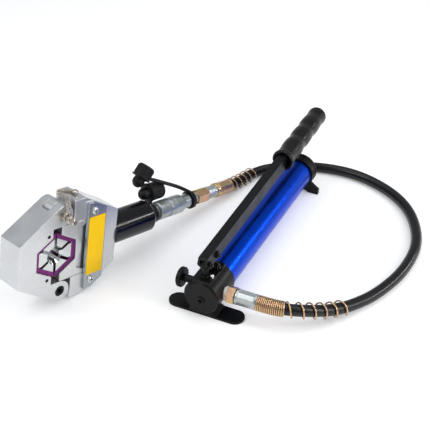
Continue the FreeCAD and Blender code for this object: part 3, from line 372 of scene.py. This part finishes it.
def set_light():
    """A pale sky, plain white where the camera sees it, and four soft lamps."""
    world = bpy.data.worlds.new("Studio")
    bpy.context.scene.world = world
    world.use_nodes = True
    world.node_tree.nodes.clear()
    nodes = Nodes(world.node_tree)
    height = nodes.add("ShaderNodeSeparateXYZ", {0: nodes.add("ShaderNodeTexCoord")["Generated"]})["Z"]
    colour = nodes.ramp(height, SKY_STOPS)
    sky = nodes.add("ShaderNodeBackground", {"Color": colour, "Strength": SKY_LEVEL})[0]
    white = nodes.add("ShaderNodeBackground", {"Color": WHITE})[0]
    seen = nodes.add("ShaderNodeLightPath")["Is Camera Ray"]
    backdrop = nodes.add("ShaderNodeMixShader", {0: seen, 1: sky, 2: white})[0]
    nodes.add("ShaderNodeOutputWorld", {"Surface": backdrop})
    for lamp in LAMPS:
        area_light(*lamp)


def set_floor():
    """A pale floor that keeps the shadow, and glows a little to the camera and in reflections."""
    mesh = bpy.data.meshes.new("Floor")
    corners = [(x * FLOOR_REACH, y * FLOOR_REACH, 0) for x, y in ((-1, -1), (1, -1), (1, 1), (-1, 1))]
    mesh.from_pydata(corners, [], [(0, 1, 2, 3)])
    look, nodes = material("Pale floor")
    path = nodes.add("ShaderNodeLightPath")
    seen = nodes.maths("MAXIMUM", path["Is Camera Ray"], path["Is Glossy Ray"])
    glow = nodes.maths("MULTIPLY", seen, FLOOR_GLOW)
    set_surface(nodes, {"Base Color": FLOOR_COLOUR, "Roughness": 0.9, "Specular IOR Level": 0.1,
                        "Emission Color": WHITE, "Emission Strength": glow})
    mesh.materials.append(look)
    placed(bpy.data.objects.new("Floor", mesh))


# Turned meshes

STEPS, FINE_STEPS = 72, 96
TURNED_SHARP = math.radians(32)


def turned(profile, steps=STEPS, shape=None, bore=False):
    """A mesh turned round x from (station, radius) points; shape(station, angle) is a share of the radius.

    With a bore the last point joins the first, and without one both ends are closed."""
    shell = bmesh.new()
    rings = []
    for station, radius in profile:
        ring = []
        for step in range(steps):
            angle = 2 * math.pi * step / steps
            reach = radius * (shape(station, angle) if shape else 1.0)
            ring.append(shell.verts.new((station, reach * math.cos(angle), reach * math.sin(angle))))
        rings.append(ring)
    for near, far in zip(rings, rings[1:] + rings[:1] if bore else rings[1:]):
        for step in range(steps):
            after = (step + 1) % steps
            shell.faces.new((near[step], near[after], far[after], far[step]))
    if not bore:
        shell.faces.new(rings[0])
        shell.faces.new(rings[-1])
    bmesh.ops.recalc_face_normals(shell, faces=shell.faces)
    mesh = bpy.data.meshes.new("Turned")
    shell.to_mesh(mesh)
    shell.free()
    mesh.shade_smooth()
    mesh.set_sharp_from_angle(angle=TURNED_SHARP)
    return mesh


def softened(profile, steps):
    """A profile with a smooth line through its points, in so many steps from each to the next."""
    line = []
    for index in range(len(profile) - 1):
        before, a, b = profile[max(index - 1, 0)], profile[index], profile[index + 1]
        after = profile[min(index + 2, len(profile) - 1)]
        for step in range(steps):
            t = step / steps
            line.append(tuple(0.5 * (2 * q + (r - p) * t + (2 * p - 5 * q + 4 * r - z) * t * t
                                     + (3 * q - p - 3 * r + z) * t ** 3)
                              for p, q, r, z in zip(before, a, b, after)))
    return line + [profile[-1]]


def facets(count, start, end, deep):
    """Flats pressed round a turned piece between two stations, as a share of its radius."""
    def share(station, angle):
        if not start < station < end:
            return 1.0
        side = math.pi / count
        within = (angle % (2 * side)) - side
        return 1.0 - deep * (1.0 - (math.cos(side) / math.cos(within))) / (1.0 - math.cos(side))
    return share


def joined(*meshes):
    shell = bmesh.new()
    for mesh in meshes:
        shell.from_mesh(mesh)
    whole = bpy.data.meshes.new("Joined")
    shell.to_mesh(whole)
    shell.free()
    return whole


def piece(name, mesh, slot, where, node=None, body="base", finish=None):
    """A piece of the scene from a mesh in millimetres, set in its frame and standing for its CAD node."""
    mesh.transform(Matrix.Scale(MM, 4) @ where)
    mesh.materials.clear()
    mesh.materials.append(FINISHES[finish or slot])
    obj = placed(bpy.data.objects.new(name, mesh))
    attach(obj, body)
    if node:
        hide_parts(node)


# Geometry trees

class GeometryTree(Group):
    """A geometry tree with named inputs, its material among them."""

    def __init__(self, name, inputs):
        super().__init__(name, "GeometryNodeTree", {**inputs, "Finish": "Material"}, {"Geometry": "Geometry"})

    def vectors(self, operation, a, b):
        return self.add("ShaderNodeVectorMath", {0: a, 1: b}, operation=operation)[0]

    def scaled(self, vector, amount):
        return self.add("ShaderNodeVectorMath", {0: vector, "Scale": amount}, operation="SCALE")[0]

    def vector(self, x, y=0.0, z=0.0):
        return self.add("ShaderNodeCombineXYZ", {0: x, 1: y, 2: z})[0]

    def index(self):
        return self.add("GeometryNodeInputIndex")[0]

    def guide(self):
        """The curve of the object that the tree is given as its guide."""
        return self.add("GeometryNodeObjectInfo", {"Object": self.given["Guide"]})["Geometry"]

    def circle(self, steps, radius):
        return self.add("GeometryNodeCurvePrimitiveCircle", {"Resolution": steps, "Radius": radius})[0]

    def oval(self, steps, wide, high):
        size = self.vector(wide, high, 1.0)
        return self.add("GeometryNodeTransform", {"Geometry": self.circle(steps, 0.5), "Scale": size})[0]

    def swept(self, line, profile):
        """A line given a thickness by a profile."""
        return self.add("GeometryNodeCurveToMesh", {"Curve": line, "Profile Curve": profile,
                                                    "Fill Caps": True})[0]

    def repeated(self, points, shape, **turn):
        return self.add("GeometryNodeInstanceOnPoints", {"Points": points, "Instance": shape, **turn})[0]

    def finished(self, geometry):
        """The tree, ended in real geometry with its material."""
        real = self.add("GeometryNodeRealizeInstances", {"Geometry": geometry})[0]
        dressed = self.add("GeometryNodeSetMaterial", {"Geometry": real, "Material": self.given["Finish"]})[0]
        self.feed(self.out["Geometry"], dressed)
        return self.tree


COIL_SIDES = 10
LINK_STEPS, LINK_SIDES = 20, 8
RIB_SIDES = 12
STRAP_STEPS, STRAP_SIDES = 60, 24


def coil_tree():
    """A wire wound round a guide: tight turns first, then open ones, never lower than the floor."""
    coil = GeometryTree("Coil", {
        "Guide": "Object", "Start": 0.0, "Tight turns": 14.0, "Tight pitch": 2.2 * MM, "Open turns": 6.0,
        "Open pitch": 14.0 * MM, "Tight radius": 9.2 * MM, "Open radius": 9.6 * MM, "Wire": 1.0 * MM,
        "Points": 900})
    given = coil.given
    line = coil.add("GeometryNodeCurvePrimitiveLine")[0]
    line = coil.add("GeometryNodeResampleCurve", {"Curve": line, "Count": given["Points"]})[0]
    along = coil.add("GeometryNodeSplineParameter")["Factor"]
    turns = coil.maths("MULTIPLY", along, coil.maths("ADD", given["Tight turns"], given["Open turns"]))
    tight = coil.maths("MINIMUM", turns, given["Tight turns"])
    opened = coil.maths("MAXIMUM", coil.maths("SUBTRACT", turns, given["Tight turns"]), 0.0)
    station = coil.maths("ADD", coil.maths("MULTIPLY", tight, given["Tight pitch"]),
                         coil.maths("MULTIPLY", opened, given["Open pitch"]))
    station = coil.maths("ADD", station, given["Start"])
    sample = coil.add("GeometryNodeSampleCurve", {"Curves": coil.guide(), "Length": station}, mode="LENGTH")
    side = coil.vectors("CROSS_PRODUCT", sample["Tangent"], sample["Normal"])
    growth = coil.maths("MULTIPLY", coil.maths("MINIMUM", opened, 1.0),
                        coil.maths("SUBTRACT", given["Open radius"], given["Tight radius"]))
    radius = coil.maths("ADD", given["Tight radius"], growth)
    angle = coil.maths("MULTIPLY", turns, 2 * math.pi)
    reach = coil.vectors("ADD", coil.scaled(sample["Normal"], coil.maths("COSINE", angle)),
                         coil.scaled(side, coil.maths("SINE", angle)))
    place = coil.vectors("ADD", sample["Position"], coil.scaled(reach, radius))
    x, y, z = coil.add("ShaderNodeSeparateXYZ", {0: place})
    place = coil.vector(x, y, coil.maths("MAXIMUM", z, given["Wire"]))
    line = coil.add("GeometryNodeSetPosition", {"Geometry": line, "Position": place})[0]
    return coil.finished(coil.swept(line, coil.circle(COIL_SIDES, given["Wire"])))


def chain_tree():
    """Oval links along a guide, each turned a quarter round from the one before."""
    chain = GeometryTree("Chain", {"Guide": "Object", "Pitch": 2.6 * MM, "Long": 3.8 * MM, "Wide": 2.6 * MM,
                                   "Wire": 0.42 * MM})
    given = chain.given
    link = chain.oval(LINK_STEPS, given["Long"], given["Wide"])
    link = chain.swept(link, chain.circle(LINK_SIDES, given["Wire"]))
    points = chain.add("GeometryNodeCurveToPoints", {"Curve": chain.guide(), "Length": given["Pitch"]},
                       mode="LENGTH")
    turn = chain.add("FunctionNodeAlignRotationToVector", {"Vector": points["Tangent"]}, axis="X")[0]
    roll = chain.vector(chain.maths("MULTIPLY", chain.index(), math.pi / 2))
    roll = chain.add("FunctionNodeEulerToRotation", {0: roll})[0]
    turn = chain.add("FunctionNodeRotateRotation", {"Rotation": turn, "Rotate By": roll},
                     rotation_space="LOCAL")[0]
    return chain.finished(chain.repeated(points["Points"], link, Rotation=turn))


def rib_tree():
    """Round-backed ribs in a ring about x."""
    ribs = GeometryTree("Ribs", {"Count": 26, "Radius": 11.5 * MM, "Start": 0.0, "Long": 10.0 * MM,
                                 "Rib": 0.75 * MM})
    given = ribs.given
    angle = ribs.maths("MULTIPLY", ribs.maths("DIVIDE", ribs.index(), given["Count"]), 2 * math.pi)
    across = ribs.maths("MULTIPLY", ribs.maths("COSINE", angle), given["Radius"])
    up = ribs.maths("MULTIPLY", ribs.maths("SINE", angle), given["Radius"])
    middle = ribs.maths("ADD", given["Start"], ribs.maths("MULTIPLY", given["Long"], 0.5))
    points = ribs.add("GeometryNodePoints", {"Count": given["Count"],
                                             "Position": ribs.vector(middle, across, up)})[0]
    rib = ribs.add("GeometryNodeMeshCylinder", {"Vertices": RIB_SIDES, "Radius": given["Rib"],
                                                "Depth": given["Long"]})[0]
    rib = ribs.add("GeometryNodeTransform", {"Geometry": rib, "Rotation": (0, math.pi / 2, 0)})[0]
    return ribs.finished(ribs.repeated(points, rib))


def strap_tree():
    """A flat rubber strap with rounded edges along a guide."""
    strap = GeometryTree("Strap", {"Guide": "Object", "Wide": 7.2 * MM, "Thick": 5.0 * MM})
    line = strap.add("GeometryNodeResampleCurve", {"Curve": strap.guide(), "Count": STRAP_STEPS})[0]
    section = strap.oval(STRAP_SIDES, strap.given["Wide"], strap.given["Thick"])
    return strap.finished(strap.swept(line, section))


COIL, CHAIN, RIBS, STRAP = coil_tree(), chain_tree(), rib_tree(), strap_tree()
GROWN_SHARP = math.radians(50)


def grown(group, finish, **settings):
    """The plain mesh, in millimetres, that a geometry tree makes from its named inputs in metres."""
    host = placed(bpy.data.objects.new(group.name, bpy.data.meshes.new(group.name)))
    modifier = host.modifiers.new(group.name, "NODES")
    modifier.node_group = group
    names = {item.name.replace(" ", "_"): item.identifier for item in group.interface.items_tree
             if item.in_out == "INPUT"}
    for label, value in {"Finish": FINISHES[finish], **settings}.items():
        modifier[names[label]] = value
    bpy.context.view_layer.update()
    shape = bpy.data.meshes.new_from_object(host.evaluated_get(bpy.context.evaluated_depsgraph_get()))
    host.modifiers.remove(modifier)
    bpy.data.objects.remove(host)
    shape.shade_smooth()
    shape.set_sharp_from_angle(angle=GROWN_SHARP)
    shape.transform(Matrix.Scale(1 / MM, 4))
    return shape


def spline_of(name, points):
    """A smooth open curve, in metres, with control points in millimetres."""
    curve = bpy.data.curves.new(name, "CURVE")
    curve.dimensions = "3D"
    curve.resolution_u = 16
    spline = curve.splines.new("NURBS")
    spline.points.add(len(points) - 1)
    for point, place in zip(spline.points, points):
        point.co = (*(Vector(place) * MM), 1.0)
    spline.order_u = 3
    spline.use_endpoint_u = True
    return curve


def grown_along(points, group, finish, **settings):
    """The plain mesh that a geometry tree makes along a smooth curve."""
    guide = placed(bpy.data.objects.new("Guide", spline_of("Guide", points)))
    bpy.context.view_layer.update()
    shape = grown(group, finish, Guide=guide, **settings)
    bpy.data.objects.remove(guide)
    return shape


# Hose and the coils on it

HOSE_RADIUS = 7.5
# The height of the hose's middle where it lies, the end of the head's ferrule, and the straight run from it
REST = 7.6
FERRULE_END = 328.0
FERRULE_RUN = 21.5
HOSE_ROUTE = [
    Vector((66, PORT_Y, PORT_Z)), Vector((84, PORT_Y, PORT_Z)), Vector((104, 11.8, 28)),
    Vector((124, 25, 23.5)), Vector((146.2, 49.2, 14.5)), Vector((164, 76, 9)), Vector((183.8, 111.3, REST)),
    Vector((201.6, 174, REST)), Vector((199.8, 247, REST)), Vector((159.4, 324.5, REST)),
    Vector((83.7, 366.6, REST)), Vector((13.7, 364.3, REST)), Vector((-51, 331.3, REST)),
    Vector((-72.8, 300.4, REST)), RAM @ Vector((FERRULE_END + FERRULE_RUN, 0, 0)),
    RAM @ Vector((FERRULE_END, 0, 0))]


def make_hose():
    curve = spline_of("Hose", HOSE_ROUTE)
    curve.bevel_depth = HOSE_RADIUS * MM
    curve.bevel_resolution = 8
    curve.use_fill_caps = True
    curve.materials.append(FINISHES["hose"])
    hose = placed(bpy.data.objects.new("Hose", curve))
    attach(hose, "base")
    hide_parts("hose")


def make_coils():
    """The bend guards: a wire round each end of the hose, close at the pump and wide apart beyond it."""
    tight_radius = 9.2 * MM
    coil = grown_along(HOSE_ROUTE, COIL, "yellow_zinc", Start=-1 * MM, Tight_turns=15.5,
                       Tight_pitch=2.2 * MM, Tight_radius=tight_radius, Open_turns=5.6,
                       Open_pitch=14.5 * MM, Open_radius=9.6 * MM, Wire=1.0 * MM, Points=1500)
    piece("Spring_guard_pump", coil, "yellow_zinc", Matrix(), "spring_guard_pump")
    coil = grown_along(HOSE_ROUTE[::-1], COIL, "yellow_zinc", Start=1 * MM, Tight_turns=0.6,
                       Tight_pitch=2 * MM, Tight_radius=tight_radius, Open_turns=4.4,
                       Open_pitch=11 * MM, Open_radius=9.8 * MM, Wire=0.8 * MM, Points=600)
    piece("Spring_guard_head", coil, "yellow_zinc", Matrix(), "spring_guard_head")


# Dust caps

def cap_mesh(long, where):
    """A dust cap: a round plug with a dimple, a thin rim and a ribbed cup."""
    ball, rim, seat = 8.5, 13.4, 5.25
    plug = [(-ball + 1.2, 0.6), (-ball + 0.2, 1.6), (-ball, 2.4), (-ball * 0.86, ball * 0.52),
            (-ball * 0.5, ball * 0.87), (0, ball), (ball * 0.36, ball * 0.92), (seat - 0.6, ball * 0.96)]
    cup = [(seat, rim - 0.7), (seat + 0.5, rim), (seat + 1.7, rim), (seat + 2.3, rim - 0.8),
           (seat + 3.0, rim - 1.5), (long - 4, rim - 1.8), (long - 1.6, rim - 2.2), (long - 0.4, rim - 3.4),
           (long, rim - 5), (long, 4), (long - 0.8, 3), (long - 0.8, 0.4)]
    ribs = grown(RIBS, "black_rubber", Count=26, Radius=(rim - 1.9) * MM, Start=(seat + 3.6) * MM,
                 Long=(long - seat - 6.2) * MM, Rib=0.75 * MM)
    whole = joined(turned(softened(plug, 4) + softened(cup, 3)), ribs)
    whole.transform(where)
    return whole


def band_mesh(start, wide, inner, outer, lift=0.0):
    """A rubber ring with rounded edges round the ram's axis."""
    end = start + wide
    profile = [(start + 0.4, inner), (start, inner + 0.5), (start, outer - 0.7), (start + 0.7, outer),
               (end - 0.7, outer), (end, outer - 0.7), (end, inner + 0.5), (end - 0.4, inner)]
    ring = turned(profile, bore=True)
    ring.transform(shift(0, RAM_Y, lift))
    return ring


def make_ram_cap():
    """The lower cap, held by a tab on its ring round the coupler's nipple."""
    ring = band_mesh(165.6, 5.6, 10.1, 13.0, lift=-0.9)
    cap = cap_mesh(31.0, shift(169.4, 36.0, 20.6))
    tab = turned(softened([(167.5, 1.2), (168, 1.8), (174, 1.8), (175.8, 1.6), (176.2, 1.0)], 6))
    tab.transform(shift(0, 26.7, 9.9))
    piece("Dust_cap_ram", joined(ring, cap, tab), "black_rubber", HEAD, "dust_cap_ram")


def make_line_cap():
    """The upper cap, held by a long strap on its ring round the coupler's hose half."""
    ring = band_mesh(239, 6.4, 8.6, 12.8)
    cap = cap_mesh(23.7, shift(164.3, 44.0, 37.9) @ rotation("Y", -51.7))
    route = [(243, 18, 10.8), (232, 20.5, 17.5), (221, 23, 23.4), (210, 26, 28.2), (198, 29.5, 33),
             (187, 33, 37.4), (177, 36.5, 41), (170, 40, 43.4)]
    strap = grown_along(route, STRAP, "black_rubber", Wide=7.2 * MM, Thick=5.0 * MM)
    piece("Dust_cap_line", joined(ring, strap, cap), "black_rubber", HEAD, "dust_cap_line")


# Fittings, each with flats along it

def pressed(profile, count, start, end, deep):
    """A bored fitting with flats between two stations."""
    return turned(profile, FINE_STEPS, facets(count, start, end, deep), bore=True)


def make_pump_ferrule():
    start, end, bore, full = 37, 66, 7.6, 10.2
    profile = [(start, bore), (start, 8.8), (38.6, full), (41, full), (41.2, 10.1), (62.8, 10.1), (63, full),
               (64.4, 10.0), (end, 8.8), (end, bore)]
    mesh = pressed(profile, 10, 41.1, 62.9, 0.06)
    piece("Hose_ferrule_pump", mesh, "zinc_steel", PORT, "hose_ferrule_pump")


def make_head_ferrule():
    start, end, bore, full, neck = 294, FERRULE_END, 7.6, 10.2, 9.6
    profile = [(start, bore), (start, neck), (294.5, 10.4), (296.2, 10.4), (296.8, neck), (298.6, neck),
               (299.6, full), (299.8, full), (324.4, full), (324.6, 10.0), (327, neck), (end, 8.8),
               (end, bore)]
    mesh = pressed(profile, 8, 299.7, 324.5, 0.06)
    piece("Hose_ferrule_head", mesh, "yellow_zinc", RAM, "hose_ferrule_head")


def make_coupler_sleeve():
    start, full, groove = 177, 13.0, 12.7
    profile = [(start, 9.4), (start, 11.8), (178, 12.9), (178.2, full), (191.6, full), (191.8, 12.8),
               (193, 12.8), (193.6, 11.6), (196, 11.6), (196.6, 12.8), (197.2, full), (206, full),
               (206.4, groove), (207.4, groove), (207.8, full), (219.6, full), (221, groove), (225, 10.9),
               (226, 10.5), (226, 10.1)]
    mesh = pressed(profile, 6, 178.1, 191.7, 0.07)
    piece("Coupler_sleeve", mesh, "zinc_steel", RAM, "coupler_sleeve", body="sleeve")


def make_head_collar():
    start, end, bore, full = 274, 294, 7.4, 9.0
    profile = [(start, bore), (start, 8.2), (276, 8.2), (276.4, full), (276.6, full), (288.6, full),
               (288.8, 8.6), (291, 8.6), (291.4, 8.8), (end, 8.8), (end, bore)]
    mesh = pressed(profile, 6, 276.5, 288.7, 0.09)
    piece("Hose_collar_head", mesh, "zinc_steel", RAM, "hose_collar_head")


# Chain, plug ring and grip

def make_chain():
    """The keeper chain from the pin's ring to its screw, doubled back beside itself, and the screw."""
    top = 69.4
    routes = ([(1, -6.2, 61), (3, -5, 64.6), (5.6, -2, top), (8.4, 2.6, top), (11, 8, top), (12.2, 13.6, top),
               (11.2, 18.8, top), (11.6, 23.6, top), (14.8, 26.6, top), (19, 26.2, top), (22.8, 23.6, top),
               (26.3, 18.7, top)],
              [(-1.4, -6.4, 62), (0.4, -4.4, 66), (2.8, -0.6, top), (5.2, 4.6, top), (8, 9.4, top),
               (9, 14.2, top), (7.6, 19.4, top), (8.4, 25, top), (13, 29.4, top), (19.6, 29.4, top),
               (25, 25.4, top), (28.6, 19.6, top)])
    strands = [grown_along(route, CHAIN, "nickel", Pitch=2.6 * MM, Long=3.8 * MM, Wide=2.6 * MM,
                           Wire=0.42 * MM) for route in routes]
    screw = turned([(66.0, 1.6), (70.4, 1.6), (70.4, 3.7), (70.8, 4.0), (72.0, 4.0), (72.8, 3.0),
                    (73.1, 1.4)])
    screw.transform(shift(27.9, 15.5, 0) @ rotation("Y", -90))
    piece("Keeper_chain", joined(*strands, screw), "bright_steel", HEAD, "pin_chain", finish="nickel")


def make_grip():
    """The soft rubber grip: an open flange, finger swells and a rounded end."""
    top, start, end, socket = 13.5, 237.0, 375.0, 9.0
    swells = [(0.012, 1.9), (0.035, 1.9), (0.055, 0.6), (0.10, 0.1), (0.16, 0.2), (0.22, 0.9), (0.3, 0.9),
              (0.38, -0.5), (0.46, 0.7), (0.54, 0.7), (0.62, -0.5), (0.7, 0.6), (0.78, 0.5), (0.86, -0.5),
              (0.93, 0.2), (0.965, 0.2), (0.985, -0.7), (0.997, -2.6), (1, -5.5)]
    outside = [(start + (end - start) * share, top + swell) for share, swell in swells]
    inside = [(start + 10, socket), (start + 10, 11.5), (start + 0.6, 11.6), (start, 12.2), (start, 14.4)]
    grip = turned(inside + softened(outside, 5), FINE_STEPS)
    where = LEVER @ rotation("Z", 90)
    piece("Lever_grip", grip, "black_rubber", where, "lever_grip", body="lever", finish="grip_rubber")


def make_plug_ring():
    """The raised ring round the plug in the pump's front face."""
    low, high = (Vector(corner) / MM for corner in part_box("front_plug"))
    middle = (low + high) / 2
    inner, outer = 3.3, 5.4
    ring = turned([(-1.0, inner), (0.4, inner), (0.8, 3.7), (0.8, 4.9), (0.4, outer), (-1.0, outer)], 48,
                  bore=True)
    piece("Front_plug_ring", ring, "black_steel", shift(middle.x, low.y, middle.z) @ rotation("Z", -90))


set_camera()
make_hose()
make_coils()
make_ram_cap()
make_line_cap()
make_pump_ferrule()
make_head_ferrule()
make_coupler_sleeve()
make_head_collar()
make_chain()
make_grip()
make_plug_ring()
set_light()
set_floor()
dress_nodes()

bpy.context.scene.view_settings.view_transform = "Standard"
